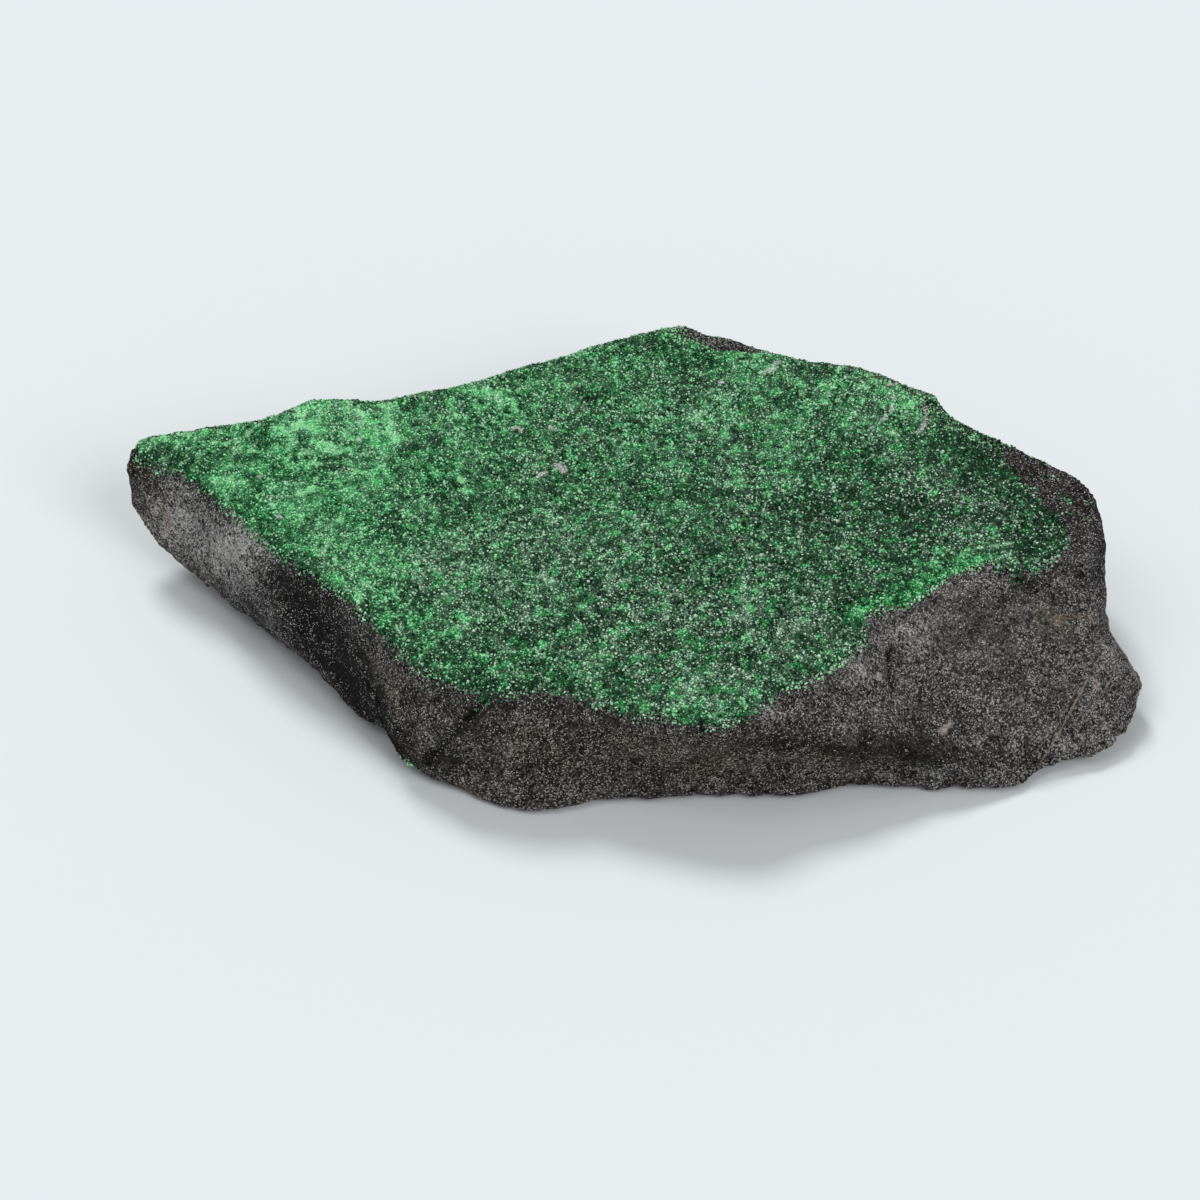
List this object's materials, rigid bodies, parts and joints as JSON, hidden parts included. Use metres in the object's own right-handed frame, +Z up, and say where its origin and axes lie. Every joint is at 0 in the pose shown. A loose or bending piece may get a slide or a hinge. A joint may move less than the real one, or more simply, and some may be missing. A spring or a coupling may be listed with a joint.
{
  "type": "uvarovite specimen",
  "caption": "Flat broken slab of dark chromite rock with a crust of small green garnet crystals over its upper face, lying on its flat underside.",
  "frame": {"origin": "under the middle of the slab's box, on the surface that it lies on", "axes": "+X from the narrow tip along the slab's length, +Y from the long broken front edge to the far edge, +Z up out of the crystal face"},
  "size_m": [0.0918, 0.054, 0.0135],
  "materials": {
    "chromite_rock": "rough broken rock with fine bright grains",
    "uvarovite_crystals": "glassy green grains"
  },
  "bodies": {
    "root": {"chromite_matrix": "chromite_rock", "uvarovite_crust": "uvarovite_crystals"}
  },
  "joints": []
}
